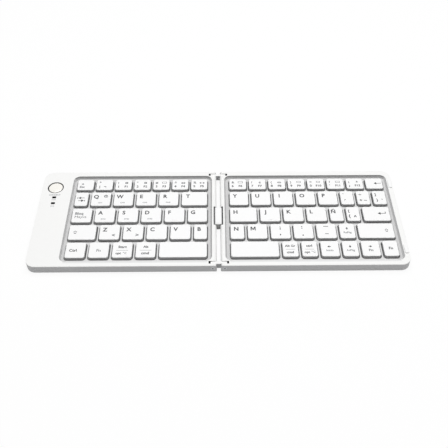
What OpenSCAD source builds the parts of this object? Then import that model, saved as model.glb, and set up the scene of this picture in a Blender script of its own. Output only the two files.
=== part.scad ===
// Folding wireless keyboard: two thin halves joined by a double-pivot hinge.
// Millimetres. X runs along the keyboard, Y towards the back, Z up.
// The origin lies on the surface that the rubber feet stand on, under the middle of the hinge.

/* [Body] */
// Overall width, opened flat
body_w = 248.3; // [236:1:270]
// Depth from the front edge to the back edge
body_d = 89.2; // [86:0.5:100]
// Thickness of each half, without its feet
body_t = 5.7; // [5.6:0.1:7]
// Plan radius of the four outer corners
corner_r = 6.5; // [3.5:0.5:8]
// Open gap between the two halves at the hinge
hinge_gap = 2.6; // [2.2:0.1:3]
// Rounding of the top edge that faces the hinge
hinge_edge_r = 1.8; // [1:0.1:2]
// Thickness of the bottom covers
bottom_t = 0.8; // [0.7:0.05:1]
// Side wall of the bottom covers
wall_t = 1.4; // [1.2:0.1:1.6]
// Thickness of the top covers where they lie on those walls
lip_t = 0.5; // [0.4:0.05:0.8]
// Thickness of the control strip's top
strip_t = 1.2; // [0.8:0.1:1.4]

/* [Key wells] */
// Width of the control strip at the left end
strip_w = 21; // [19.5:0.5:24]
// Rim between the key well and the hinge
rim_hinge = 3.05; // [2.9:0.05:4]
// Rim at the right end
rim_end = 3.3; // [3:0.1:5]
// Rim along the front and the back
rim_d = 4; // [4:0.1:4.6]
// Depth of the key wells below the rim
well_depth = 2; // [1.6:0.1:2.2]
// Lean of the well walls over their depth
well_lean = 1; // [0.4:0.1:1.4]
// Plan radius of the well corners
well_r = 4.5; // [3.5:0.1:5]
// Thickness of the key bed at the bottom of the well
bed_t = 0.8; // [0.6:0.1:1]

/* [Keys] */
// Margin between the well's edge and the keys, left and right
key_margin = 3.4; // [3:0.1:4]
// Extra margin between the hinge and the right half's keys
right_shift_in = 0.35; // [0:0.05:0.6]
// Margin in front of the first row
front_margin = 3.5; // [3:0.1:4]
// Margin behind the last row
back_margin = 3.8; // [3:0.1:4.2]
// Depth of a digit key, as a share of a letter key's depth
digit_share = 0.78; // [0.74:0.01:0.9]
// Gap between key tops from front to back
row_gap = 2.57; // [2.2:0.05:2.6]
// Gap between key tops from side to side
key_gap = 2.45; // [2.2:0.05:2.6]
// Gap between the digit keys
digit_gap = 2; // [1.9:0.05:2.2]
// Height of a keycap
cap_h = 2.3; // [2.1:0.1:2.6]
// Thickness of a keycap's top
cap_top_t = 0.9; // [0.7:0.1:1]
// Thickness of a keycap's sides at the top
cap_wall = 0.7; // [0.5:0.05:0.8]
// Lean of a keycap's sides, from base to top
cap_lean = 0.5; // [0.3:0.05:0.55]
// Plan radius of a keycap's corners at the top
cap_r = 1.5; // [0.8:0.1:1.8]
// Bevel round a keycap's top
cap_bevel = 0.2; // [0.1:0.05:0.3]
// Key travel
key_travel = 1.2; // [0.8:0.1:1.3]
// Clearance between a keycap and its opening in the bed
key_clear = 0.25; // [0.2:0.05:0.3]

/* [Key widths] */
// Every row fills its well, so a width is the key's share of its row.
// Digit keys
digit_w = 11.6; // [11:0.1:13]
// Letter keys on the left half
left_letter_w = 13.3; // [12.8:0.05:13.8]
// Tab key
tab_w = 8.9; // [8.6:0.1:10]
// Last letter key of the left half's upper row
upper_last_w = 17.65; // [16:0.05:19]
// Caps lock key
caps_w = 13.15; // [12:0.05:15]
// Last letter key of the left half's middle row
middle_last_w = 12.95; // [12:0.05:14]
// Left shift key
left_shift_w = 18; // [16:0.1:20]
// Last letter key of the left half's lower row
lower_last_w = 8.6; // [8.4:0.1:9.6]
// Control, function, option and alt keys
modifier_w = 12.8; // [12:0.1:14]
// Left half's space key
left_space_w = 31; // [26:0.1:36]
// First letter key of the right half's upper row
upper_first_w = 12.8; // [12:0.1:14]
// Other letter keys of the right half's upper row
upper_letter_w = 13.15; // [12.6:0.05:13.8]
// Symbol keys at the ends of the upper and middle rows
symbol_w = 8.95; // [8.6:0.05:9.8]
// First letter key of the right half's middle row
middle_first_w = 18.1; // [17:0.1:19]
// Other letter keys of the right half's middle row
middle_letter_w = 13.45; // [13:0.05:14]
// Enter key
enter_w = 18.2; // [17:0.1:22]
// First letter key of the right half's lower row
lower_first_w = 9; // [8.6:0.1:11]
// Other keys of the right half's lower row
lower_letter_w = 12.85; // [12.4:0.05:13.4]
// Right shift key
right_shift_w = 23.6; // [22:0.1:28]
// Up and down arrow keys, and the keys beside the right space key
narrow_w = 10.05; // [9.4:0.05:11]
// Right half's space key
right_space_w = 31.1; // [28:0.1:35]
// Left and right arrow keys
arrow_w = 11.7; // [11:0.1:13]
// Last key of the right half's front row
corner_w = 9.5; // [9:0.1:11]

/* [Hinge] */
// Distance of each pivot from the hinge's middle
pivot_x = 3.9; // [3.7:0.1:4.2]
// Height of the pivots above the bottom of the body
pivot_h = 2.7; // [2.5:0.05:2.9]
// Radius of the hinge pins
pin_r = 0.8; // [0.6:0.05:0.9]
// Running clearance of a link on its pin, on the radius
pin_clear = 0.03; // [0.02:0.01:0.06]
// Radius of a hinge pin's head
pin_head_r = 1.25; // [1.1:0.05:1.5]
// Thickness of a hinge pin's head
pin_head_t = 0.5; // [0.3:0.1:0.7]
// Width of each hinge link, from front to back
link_w = 1.9; // [1.6:0.1:2.4]
// Length of a link past its pivots
link_end = 1.6; // [1.4:0.05:1.7]
// How far a link's top lies below the rims
link_drop = 0.45; // [0.2:0.05:0.6]
// Wall in front of the front link and behind the back one
link_wall = 1.8; // [1.4:0.1:2.2]
// Depth of a pin's seat behind its link
pin_seat = 1.2; // [0.8:0.1:1.6]
// Clearance round a hinge link
link_clear = 0.15; // [0.1:0.01:0.18]

/* [Cable boot] */
// Length of the cable boot, from front to back
boot_len = 16.2; // [12:0.5:20]
// Width of the cable boot
boot_w = 5.2; // [4.8:0.1:5.6]
// Clearance round the cable boot
boot_clear = 0.6; // [0.5:0.05:0.65]
// Place of the boot's middle, behind the middle of the body
boot_y = 0.4; // [-4:0.1:4]
// Width of the flat cable
cable_w = 11; // [8:0.5:11.5]
// Thickness of the flat cable
cable_t = 0.2; // [0.15:0.05:0.3]
// Clearance round the flat cable
cable_clear = 0.1; // [0.06:0.01:0.15]

/* [Control strip] */
// Radius of the power button
button_r = 4.85; // [4:0.05:5.5]
// Clearance round the power button
button_clear = 0.75; // [0.4:0.05:0.8]
// Width of the power button's flange under the cover
button_flange = 1.25; // [1.1:0.05:1.4]
// Thickness of the power button's flange
button_flange_t = 0.4; // [0.3:0.05:0.5]
// Travel of the power button
button_travel = 0.3; // [0.2:0.05:0.35]
// Distance of the button from the left edge
button_x = 9.2; // [8.4:0.1:10]
// Distance of the button from the back face
button_back = 15.7; // [12:0.1:18]
// Distance of the indicator windows from the left edge
window_x = 9.55; // [9:0.05:10]
// Length and width of an indicator window
window = [2.8, 2];
// Distance from the button to the first window, and on to the second
window_y = [9.9, 15.7];
// Width and height of the charging socket's shell
socket = [8.94, 3.16];
// Depth of the charging socket
socket_l = 7.3; // [6:0.1:8]
// Distance of the charging socket from the back face
socket_back = 37.1; // [36.9:0.1:38]

/* [Feet, pads and screws] */
// How far the feet stand out of the bottom
foot_h = 0.5; // [0.4:0.1:1]
// Radius of a foot
foot_r = 3.5; // [2.5:0.5:5]
// Depth of a foot's seat in the cover
foot_seat = 0.3; // [0.2:0.05:0.4]
// Inset of the feet from the body's edges
foot_inset = 9; // [8:0.5:12]
// Length and width of a bumper pad on the right rim
pad = [8.2, 2.5];
// Height of a bumper pad above the rim
pad_h = 0.6; // [0.3:0.1:0.8]
// Distance of each bumper pad from the front or back face
pad_inset = 13.6; // [11:0.1:20]
// Radius of a screw's shank
screw_r = 0.6; // [0.5:0.05:0.7]
// Radius of a screw's head
screw_head_r = 1.15; // [1:0.05:1.3]
// Thickness of a screw's head
screw_head_t = 0.45; // [0.3:0.05:0.5]
// Length of a screw
screw_l = 3.8; // [3:0.1:4]
// Distance of the screws from the front and back faces
screw_inset = 2.7; // [2.5:0.1:2.8]

/* [Hidden] */
$fn = 48;
LEFT = -1;
RIGHT = 1;
ROWS = 5;
eps = 0.1;
seat_gap = 0.05;

// Heights above the surface that the feet stand on
z_bottom = foot_h;
z_seam = z_bottom + bottom_t;
z_top = z_bottom + body_t;
z_bed = z_top - well_depth;
z_bed_under = z_bed - bed_t;
z_cap = z_top - cap_h;
z_ceiling = z_top - cap_top_t;
z_pivot = z_bottom + pivot_h;
z_strip = z_top - strip_t;
z_lip = z_top - lip_t;
z_link = z_top - link_drop;

// Distances from the hinge's middle, outwards
inner_face = hinge_gap / 2;
outer_face = body_w / 2;
well_in = inner_face + rim_hinge;
well_y = body_d / 2 - rim_d;

function key_in(side) = well_in + key_margin + (side == RIGHT ? right_shift_in : 0);
function well_out(side) = outer_face - (side == LEFT ? strip_w : rim_end);
function key_out(side) = well_out(side) - key_margin;

// Depth of a letter key's top and of a digit key's top.
key_d = (2 * well_y - front_margin - back_margin - (ROWS - 1) * row_gap) / (ROWS - 1 + digit_share);
digit_d = digit_share * key_d;

// Key widths from left to right, row by row from the back.
left_rows = [
    [for (i = [1:7]) digit_w],
    [tab_w, left_letter_w, left_letter_w, left_letter_w, left_letter_w, upper_last_w],
    [caps_w, left_letter_w, left_letter_w, left_letter_w, left_letter_w, middle_last_w],
    [left_shift_w, left_letter_w, left_letter_w, left_letter_w, left_letter_w, lower_last_w],
    [modifier_w, modifier_w, modifier_w, modifier_w, left_space_w]
];
right_rows = [
    [for (i = [1:8]) digit_w],
    concat([upper_first_w], [for (i = [1:4]) upper_letter_w], [symbol_w, symbol_w, symbol_w]),
    concat([middle_first_w], [for (i = [1:3]) middle_letter_w], [symbol_w, symbol_w, enter_w]),
    concat([lower_first_w], [for (i = [1:4]) lower_letter_w], [narrow_w, right_shift_w]),
    [right_space_w, narrow_w, narrow_w, arrow_w, narrow_w, arrow_w, corner_w]
];

function shares(side, row) = side == LEFT ? left_rows[row] : right_rows[row];
function last_key(side, row) = len(shares(side, row)) - 1;
function total(v, n) = n == 0 ? 0 : v[n - 1] + total(v, n - 1);
function gap(row) = row == 0 ? digit_gap : key_gap;
function row_w(side, row) = key_out(side) - key_in(side) - gap(row) * last_key(side, row);
function share_w(side, row) = row_w(side, row) / total(shares(side, row), last_key(side, row) + 1);
function key_w(side, row, i) = shares(side, row)[i] * share_w(side, row);
function key_x(side, row, i) = (side == LEFT ? -key_out(side) : key_in(side))
    + total(shares(side, row), i) * share_w(side, row) + gap(row) * i + key_w(side, row, i) / 2;
function row_d(row) = row == 0 ? digit_d : key_d;
function row_y(row) = front_margin - well_y + (ROWS - 1 - row) * (key_d + row_gap) + row_d(row) / 2;

// Hinge
link_slot = link_w + 2 * link_clear;
link_y = body_d / 2 - link_wall - link_slot / 2;
link_swing = norm([link_end, z_link - z_pivot]) + link_clear;
pocket_end = pivot_x + z_link - z_pivot + link_clear;
pin_l = link_wall + link_slot + pin_seat;
hinge_block = [pivot_x + link_swing + 1, pin_l + 1.2];
boot_block = 1.2;
notch_x = boot_w / 2 + boot_clear;
z_cable = z_bed_under - 0.35;
cable_reach = notch_x + boot_block + 4;
z_boot = z_seam + 0.4;

// Sealed inner pieces
plate_t = 0.3;
membrane_t = 0.2;
z_plate = z_seam;
z_membrane = z_plate + plate_t;
z_dome = z_membrane + membrane_t;
field_edge = 1;
clip_bar = 0.5;
clip_play = 0.1;
clip_t = 0.6;
narrowest = min([for (side = [LEFT, RIGHT], row = [0:ROWS - 1], i = [0:last_key(side, row)]) key_w(side, row, i)]);
clip_w = narrowest - 2 * cap_wall - 0.5;
clip_l = digit_d - 2 * cap_wall - 1.2;
dome_r = clip_w / 2 - 2 * clip_bar - 2 * clip_play;
two_clips_from = 22;
board_t = 0.8;
z_board = z_seam + 1.2;
z_socket = z_board + board_t / 2;
button_y = body_d / 2 - button_back;
socket_y = body_d / 2 - socket_back;
pad_y = body_d / 2 - pad_inset;
board = [17.4, 38];
switch_h = 0.7;
stub_h = 0.15;
led_h = 0.6;
strip_in = well_out(LEFT) + 1.2;
strip_mid = (strip_in + outer_face - wall_t) / 2;
board_y = button_y + 8 - board.y / 2;
screw_y = body_d / 2 - screw_inset;
screw_boss_r = 1.7;
battery_start = -screw_y + screw_boss_r + 0.6;
battery = [16.4, board_y - board.y / 2 - 2.4 - battery_start, 3.1];
battery_y = battery_start + battery.y / 2;
hinge_corner_r = 0.6;

function screw_x(side) =
    [hinge_block.x + 2 * screw_boss_r, (hinge_block.x + outer_face) / 2, outer_face - corner_r];
function foot_x() = [hinge_block.x + foot_inset, outer_face - foot_inset];

white = "#f5f5f3";
grey = "#a7a8a8";
cap_white = "#fbfbfa";

// ---------- shared shapes ----------

// Children are drawn for the right half and mirrored for the left one.
module on_side(side) {
    if (side == LEFT) mirror([1, 0, 0]) children();
    else children();
}

module at_key(side, row, i) {
    translate([key_x(side, row, i), row_y(row), 0]) children();
}

module every_key(side) {
    for (row = [0:ROWS - 1], i = [0:last_key(side, row)]) {
        $w = key_w(side, row, i);
        $d = row_d(row);
        at_key(side, row, i) children();
    }
}

// A rectangle with round corners, given by its low and high corners.
module rounded(low, high, r) {
    size = high - low;
    translate(low + [r, 0]) square([size.x - 2 * r, size.y]);
    translate(low + [0, r]) square([size.x, size.y - 2 * r]);
    for (x = [low.x + r, high.x - r], y = [low.y + r, high.y - r])
        translate([x, y]) circle(r);
}

module rounded_centred(size, r) {
    rounded(-size / 2, size / 2, r);
}

// Plan of a half: large corners at its outer end, small ones at the hinge.
module half_plan(inset = 0) {
    y = body_d / 2 - inset;
    middle = outer_face / 2;
    rounded([inner_face + inset + corner_r, -y], [outer_face - inset, y], corner_r - inset);
    rounded([inner_face + inset, -y], [middle, y], hinge_corner_r);
}

// Side view of a half, with the rounded edge that faces the hinge.
module half_profile() {
    length = outer_face + eps;
    translate([inner_face + hinge_edge_r, z_bottom]) square([length - inner_face - hinge_edge_r, body_t]);
    translate([inner_face, z_bottom]) square([length - inner_face, body_t - hinge_edge_r]);
    translate([inner_face + hinge_edge_r, z_top - hinge_edge_r]) circle(hinge_edge_r);
}

// A round bar along Y, from y0 to y1.
module bar_y(x, z, r, y0, y1) {
    translate([x, y0, z]) rotate([-90, 0, 0]) cylinder(r = r, h = y1 - y0);
}

module at_screws(side) {
    for (x = screw_x(side), y = [-screw_y, screw_y]) translate([x, y]) children();
}

module at_feet() {
    for (x = foot_x(), y = [-1, 1]) translate([x, y * (body_d / 2 - foot_inset)]) children();
}

// ---------- covers ----------

// The plan inside a half's side walls, which stays open towards the hinge.
module inner_plan(play = 0) {
    y = body_d / 2 - wall_t - play;
    half_plan(wall_t + play);
    translate([inner_face, -y]) square([outer_face / 2, 2 * y]);
}

module in_profile() {
    intersection() {
        children();
        rotate([90, 0, 0]) linear_extrude(body_d + 2, center = true) half_profile();
    }
}

// What the hinge, the cable and the screws need stays solid inside a cover.
module cover_blocks(side) {
    at_screws(side) circle(screw_boss_r);
    for (y = [-body_d / 2, body_d / 2 - hinge_block.y])
        translate([0, y]) square(hinge_block);
    translate([0, boot_y - boot_len / 2 - 2 * boot_clear - boot_block])
        square([notch_x + boot_block, boot_len + 4 * boot_clear + 2 * boot_block]);
}

module well(side) {
    low = [well_in, -well_y];
    high = [well_out(side), well_y];
    lean = [well_lean, well_lean];
    on_side(side) hull() {
        translate([0, 0, z_top]) linear_extrude(eps) rounded(low, high, well_r, $fn = 32);
        translate([0, 0, z_bed])
            linear_extrude(eps / 10) rounded(low + lean, high - lean, well_r - well_lean, $fn = 32);
    }
}

module bed_openings(side) {
    extra = 2 * (cap_lean + key_clear);
    translate([0, 0, z_bed_under - eps]) linear_extrude(bed_t + 2 * eps)
        every_key(side) rounded_centred([$w + extra, $d + extra], cap_r + extra / 2);
}

// Room for the moving parts under the bed, inside a ring that stands on the bottom cover.
module bed_hollow(side) {
    y = well_y - 1.2;
    x = side == LEFT ? strip_in + eps : well_out(side) - 1.2;
    translate([0, 0, z_seam - eps]) linear_extrude(z_bed_under - z_seam + eps) difference() {
        translate([inner_face + 1.2, -y]) square([x - inner_face - 1.2, 2 * y]);
        cover_blocks(side);
    }
}

// A slot for a link, with an arc that the link's end swings through.
module link_pocket(y) {
    translate([0, y, 0]) rotate([90, 0, 0]) linear_extrude(link_slot, center = true) intersection() {
        union() {
            translate([inner_face - eps, 0]) square([pocket_end - inner_face + eps, z_top + eps]);
            translate([pivot_x, z_pivot]) circle(link_swing);
        }
        translate([inner_face - eps, z_seam - eps]) square([2 * pocket_end, z_top - z_seam + 2 * eps]);
    }
}

module pin_bore(front) {
    face = front * (body_d / 2 + eps);
    y = [face, face - front * (pin_l + eps)];
    bar_y(pivot_x, z_pivot, pin_r, min(y), max(y));
    head = [face, face - front * (pin_head_t + eps)];
    bar_y(pivot_x, z_pivot, pin_head_r, min(head), max(head));
}

module boot_notch() {
    length = boot_len + 2 * boot_clear;
    translate([inner_face - eps, boot_y - length / 2, z_seam - eps])
        cube([notch_x - inner_face + eps, length, z_top]);
    slot = [cable_w, cable_t] + 2 * [cable_clear, cable_clear];
    translate([inner_face - eps, boot_y - slot.x / 2, z_cable - slot.y / 2])
        cube([notch_x + boot_block, slot.x, slot.y]);
}

module top_cover(side) {
    difference() {
        on_side(side) in_profile() {
            translate([0, 0, z_lip]) linear_extrude(lip_t) half_plan();
            translate([0, 0, z_seam]) linear_extrude(z_lip - z_seam + eps) inner_plan(seat_gap);
        }
        well(side);
        bed_openings(side);
        on_side(side) {
            bed_hollow(side);
            for (y = [-link_y, link_y]) link_pocket(y);
            for (front = [-1, 1]) pin_bore(front);
            boot_notch();
            translate([0, 0, z_seam - eps]) linear_extrude(screw_l - bottom_t + 2 * eps)
                at_screws(side) circle(screw_r);
        }
        if (side == LEFT) mirror([1, 0, 0]) strip_cuts();
        if (side == RIGHT) pad_seats();
    }
}

module left_top_cover() {
    color(white) top_cover(LEFT);
}

module right_top_cover() {
    color(white) top_cover(RIGHT);
}

// The control strip is hollow, and holds the board and the battery.
module strip_cuts() {
    y = body_d / 2 - wall_t + eps;
    translate([0, 0, z_seam - eps]) linear_extrude(z_strip - z_seam + eps) difference() {
        translate([strip_in, -y]) square([outer_face - strip_in, 2 * y]);
        at_screws(LEFT) circle(screw_boss_r);
    }
    translate([outer_face - button_x, button_y, z_strip - eps])
        cylinder(r = button_r + button_clear, h = strip_t + 2 * eps);
    for (dy = window_y) translate([outer_face - window_x, button_y - dy, z_strip - eps])
        linear_extrude(strip_t + 2 * eps) rounded_centred(window, window.y / 4);
}

// A slot with round ends, along X, that fits the charging socket.
module socket_bore(x, length, play) {
    size = socket + 2 * [play, play];
    translate([x, socket_y, z_socket]) rotate([90, 0, 90]) linear_extrude(length)
        rounded_centred(size, size.y / 2 - 0.01);
}

module bottom_cover(side) {
    on_side(side) difference() {
        union() {
            translate([0, 0, z_bottom]) linear_extrude(bottom_t) half_plan();
            in_profile() translate([0, 0, z_seam - eps]) linear_extrude(z_lip - z_seam + eps) difference() {
                half_plan();
                inner_plan();
            }
            if (side == LEFT) board_posts();
        }
        for (front = [-1, 1]) pin_bore(front);
        translate([0, 0, z_bottom - eps]) linear_extrude(foot_seat + eps) at_feet() circle(foot_r);
        translate([0, 0, z_bottom - eps]) linear_extrude(bottom_t + 2 * eps)
            at_screws(side) circle(screw_r + seat_gap);
        translate([0, 0, z_bottom - eps]) linear_extrude(screw_head_t + eps)
            at_screws(side) circle(screw_head_r + seat_gap);
        if (side == LEFT) socket_bore(outer_face - wall_t - eps, wall_t + 2 * eps, seat_gap);
    }
}

module left_bottom_cover() {
    color(grey) bottom_cover(LEFT);
}

module right_bottom_cover() {
    color(grey) bottom_cover(RIGHT);
}

// Four posts that carry the main board.
module board_posts() {
    for (x = [-1, 1], y = [-1, 1])
        translate([strip_mid + x * (board.x / 2 - 1.5), board_y + y * (board.y / 2 - 1.5), z_seam - eps])
            cylinder(r = 1.1, h = z_board - z_seam + eps);
}

// ---------- what lies under the keys ----------

module key_field(side, z, t) {
    edge = field_edge;
    on_side(side) translate([0, 0, z]) linear_extrude(t) difference() {
        rounded([key_in(side) - edge, row_y(ROWS - 1) - key_d / 2 - edge],
            [key_out(side) + edge, row_y(0) + digit_d / 2 + edge], cap_r);
        offset(delta = seat_gap) cover_blocks(side);
    }
}

module left_key_plate() {
    color("#8d9093") key_field(LEFT, z_plate, plate_t);
}

module right_key_plate() {
    color("#8d9093") key_field(RIGHT, z_plate, plate_t);
}

// The left membrane has a tail that runs under the main board.
module left_membrane() {
    color("#c9d3cf") {
        key_field(LEFT, z_membrane, membrane_t);
        translate([-strip_in - 4, board_y - 6, z_membrane])
            cube([strip_in + 4 - key_out(LEFT) - field_edge / 2, 12, membrane_t]);
    }
}

module right_membrane() {
    color("#c9d3cf") key_field(RIGHT, z_membrane, membrane_t);
}

// A hollow rubber dome that returns one key.
module dome() {
    skin = 0.3;
    height = z_ceiling - seat_gap - z_dome;
    top_r = 1.2;
    translate([0, 0, z_dome]) rotate_extrude() polygon([
        [0, height - 0.8], [top_r - skin, height - 0.8], [dome_r - 2 * skin, skin], [dome_r - 2 * skin, 0],
        [dome_r, 0], [dome_r, skin], [dome_r - skin, skin], [top_r, height - 0.8], [top_r, height], [0, height]
    ]);
}

module left_domes() {
    color("#dfe3e3") every_key(LEFT) dome();
}

module right_domes() {
    color("#dfe3e3") every_key(RIGHT) dome();
}

// Two crossed frames that keep a key level, pinned to each other at the middle.
module scissor_clip() {
    rise = z_ceiling - seat_gap - z_dome;
    angle = asin((rise - clip_t) / clip_l);
    inner_w = clip_w - 2 * clip_bar - 2 * clip_play;
    translate([0, 0, z_dome + rise / 2]) {
        clip_frame(clip_w, angle);
        clip_frame(inner_w, -angle);
        for (x = [-1, 1]) translate([x * (inner_w - clip_bar) / 2, 0, 0])
            rotate([0, x * 90, 0]) cylinder(r = clip_t / 4, h = clip_bar + clip_play);
    }
}

module clip_frame(width, angle) {
    rotate([angle, 0, 0]) linear_extrude(clip_t, center = true) difference() {
        square([width, clip_l - clip_t / 2], center = true);
        square([width - 2 * clip_bar, clip_l - clip_t / 2 - 2 * clip_bar], center = true);
    }
}

// A wide key has two clips, on both sides of its dome.
module clips(side) {
    every_key(side) {
        if ($w > two_clips_from) {
            for (x = [-$w / 4, $w / 4]) translate([x, 0, 0]) scissor_clip();
        } else scissor_clip();
    }
}

module left_scissor_clips() {
    color("#e8e8e4") clips(LEFT);
}

module right_scissor_clips() {
    color("#e8e8e4") clips(RIGHT);
}

// ---------- keycaps ----------

// Side view of a keycap whose top is s wide: leaning sides and a bevelled top edge.
module cap_profile(s) {
    base = s / 2 + cap_lean;
    bevel_z = cap_h - cap_bevel;
    polygon([[-base, 0], [base, 0], [s / 2, bevel_z], [s / 2 - cap_bevel, cap_h],
        [cap_bevel - s / 2, cap_h], [-s / 2, bevel_z]]);
}

// Leaning sides that run into cones at the corners.
module cap_body(w, d) {
    straight = [w, d] - 2 * [cap_r, cap_r];
    rotate([90, 0, 0]) linear_extrude(straight.y, center = true) cap_profile(w);
    rotate([90, 0, 90]) linear_extrude(straight.x, center = true) cap_profile(d);
    for (x = [-1, 1], y = [-1, 1]) translate([x * straight.x / 2, y * straight.y / 2, 0]) {
        cylinder(r1 = cap_r + cap_lean, r2 = cap_r, h = cap_h - cap_bevel);
        translate([0, 0, cap_h - cap_bevel]) cylinder(r1 = cap_r, r2 = cap_r - cap_bevel, h = cap_bevel);
    }
}

module keycap(w, d) {
    translate([0, 0, z_cap]) difference() {
        cap_body(w, d);
        translate([0, 0, -eps]) linear_extrude(cap_h - cap_top_t + eps)
            square([w - 2 * cap_wall, d - 2 * cap_wall], center = true);
    }
}

// The keys of one row, from the first to the last given.
module keys(side, row, first, last) {
    color(cap_white) for (i = [first:last])
        at_key(side, row, i) keycap(key_w(side, row, i), row_d(row));
}

// A small raised bar that the forefingers feel.
module homing_bar(side, i) {
    bar = [3.2, 0.5, 0.2];
    color(cap_white) at_key(side, 2, i) translate([-bar.x / 2, -key_d / 2 + 1.6, z_top - seat_gap])
        cube(bar + [0, 0, seat_gap]);
}

module left_middle_letters() {
    keys(LEFT, 2, 1, 5);
    homing_bar(LEFT, 4);
}

module right_middle_letters() {
    keys(RIGHT, 2, 0, 4);
    homing_bar(RIGHT, 1);
}

// ---------- control strip ----------

module power_button() {
    top_z = z_top + 0.1;
    flange_z = z_strip - seat_gap - button_flange_t;
    color("#f7f4ea") translate([-outer_face + button_x, button_y, 0]) {
        translate([0, 0, flange_z]) cylinder(r = button_r + button_flange, h = button_flange_t);
        translate([0, 0, flange_z]) cylinder(r = button_r, h = top_z - 0.2 - flange_z);
        translate([0, 0, top_z - 0.2]) cylinder(r1 = button_r, r2 = button_r - 0.2, h = 0.2);
        translate([0, 0, z_board + board_t + switch_h + stub_h + button_travel + seat_gap])
            cylinder(r = 1.2, h = flange_z - z_board - board_t - switch_h - stub_h - button_travel);
    }
}

module power_switch() {
    color("#3a3c40") translate([-outer_face + button_x, button_y, z_board + board_t]) {
        linear_extrude(switch_h) rounded_centred([4.4, 4.4], 0.4);
        translate([0, 0, switch_h]) cylinder(r = 1, h = stub_h);
    }
}

module indicator_windows() {
    flange = [window.x, window.y] + [0.8, 0.8];
    z = z_board + board_t + led_h + seat_gap;
    color("#1b1c1e") for (dy = window_y)
        translate([-outer_face + window_x, button_y - dy, 0]) {
            translate([0, 0, z]) linear_extrude(z_top - z)
                rounded_centred(window - 2 * [0.02, 0.02], window.y / 4);
            translate([0, 0, z]) linear_extrude(z_strip - seat_gap - z) rounded_centred(flange, window.y / 4);
        }
}

module main_board() {
    top = z_board + board_t;
    color("#2f6b4a") {
        translate([-strip_mid, board_y, z_board]) linear_extrude(board_t) difference() {
            rounded_centred(board, 1);
            translate([strip_mid - outer_face, socket_y - board_y - socket.x / 2 - seat_gap])
                square([socket_l + seat_gap, socket.x + 2 * seat_gap]);
        }
        for (dy = window_y) translate([-outer_face + window_x - 0.8, button_y - dy - 0.4, top - eps])
            cube([1.6, 0.8, led_h + eps]);
        translate([-strip_mid + 1, board_y - 7, top - eps]) cube([6, 6, 0.9 + eps]);
        translate([-strip_mid + 3, board_y + 8, top - eps]) cube([3.2, 1.6, 0.7 + eps]);
        translate([-strip_mid + 2, board_y - 15.5, top - eps]) cube([5, 3.6, 1.1 + eps]);
    }
}

// A folded steel shell round a tongue.
module charging_socket() {
    skin = 0.3;
    color("#b9bcbe") difference() {
        mirror([1, 0, 0]) socket_bore(outer_face - socket_l, socket_l, 0);
        mirror([1, 0, 0]) socket_bore(outer_face - socket_l + 1, socket_l, -skin);
    }
    color("#26282b") translate([-outer_face + 0.9, socket_y - 3.35, z_socket - 0.35])
        cube([socket_l - 1.5, 6.7, 0.7]);
}

module battery() {
    color("#c8ccd0") translate([-strip_mid, battery_y, z_seam]) {
        linear_extrude(battery.z) rounded_centred([battery.x, battery.y], 1.2);
        translate([-4, battery.y / 2 - eps, 1]) cube([8, 1.6, 0.6]);
    }
}

// ---------- hinge ----------

// One rigid link on two pins. Its top lies a little below the rims when the keyboard is open.
module hinge_link(y) {
    color(white) translate([0, y, 0]) rotate([90, 0, 0]) linear_extrude(link_w, center = true) difference() {
        union() {
            translate([-pivot_x - link_end, z_pivot]) square([2 * (pivot_x + link_end), z_link - z_pivot]);
            translate([-pivot_x, z_pivot - link_end]) square([2 * pivot_x, link_end + eps]);
            for (x = [-pivot_x, pivot_x]) translate([x, z_pivot]) circle(link_end);
        }
        for (x = [-pivot_x, pivot_x]) translate([x, z_pivot]) circle(pin_r + pin_clear);
    }
}

module hinge_link_front() {
    hinge_link(-link_y);
}

module hinge_link_back() {
    hinge_link(link_y);
}

// A headed pin at the front and one at the back, with a centre mark in each head.
module hinge_pins(side) {
    color("#8f9294") on_side(side) for (front = [-1, 1]) {
        face = front * body_d / 2;
        y = [face, face - front * pin_l];
        head = [face, face - front * pin_head_t];
        difference() {
            union() {
                bar_y(pivot_x, z_pivot, pin_r, min(y), max(y));
                bar_y(pivot_x, z_pivot, pin_head_r, min(head), max(head));
            }
            bar_y(pivot_x, z_pivot, pin_r / 2, face - 0.3, face + 0.3);
        }
    }
}

module left_hinge_pins() {
    hinge_pins(LEFT);
}

module right_hinge_pins() {
    hinge_pins(RIGHT);
}

// A soft sleeve over the flat cable, crowned on top.
module cable_boot() {
    crown = 0.35;
    r = (pow(boot_w / 2, 2) + pow(crown, 2)) / (2 * crown);
    slot = [boot_w + 2 * eps, cable_t + 2 * seat_gap];
    color(white) translate([0, boot_y, 0]) difference() {
        rotate([90, 0, 0]) linear_extrude(boot_len, center = true) intersection() {
            translate([-boot_w / 2, z_boot]) square([boot_w, z_top - z_boot]);
            translate([0, z_top - r]) circle(r, $fn = 96);
        }
        translate([-slot.x / 2, -cable_w / 2 - seat_gap, z_cable - slot.y / 2])
            cube([slot.x, cable_w + 2 * seat_gap, slot.y]);
    }
}

module flat_cable() {
    color("#26272a") translate([-cable_reach, boot_y - cable_w / 2, z_cable - cable_t / 2])
        cube([2 * cable_reach, cable_w, cable_t]);
}

// ---------- feet, pads and screws ----------

module feet(side) {
    color("#55585b") on_side(side) linear_extrude(foot_h + foot_seat) at_feet() circle(foot_r);
}

module left_feet() {
    feet(LEFT);
}

module right_feet() {
    feet(RIGHT);
}

module pad_plan(play) {
    for (y = [-pad_y, pad_y]) translate([outer_face - 0.3 - pad.y / 2, y])
        rounded_centred([pad.y, pad.x] + 2 * [play, play], 0.9);
}

module pad_seats() {
    translate([0, 0, z_top - foot_seat]) linear_extrude(foot_seat + eps) pad_plan(0);
}

module bumper_pads() {
    color("#eceeee") translate([0, 0, z_top - foot_seat]) linear_extrude(foot_seat + pad_h) pad_plan(0);
}

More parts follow.
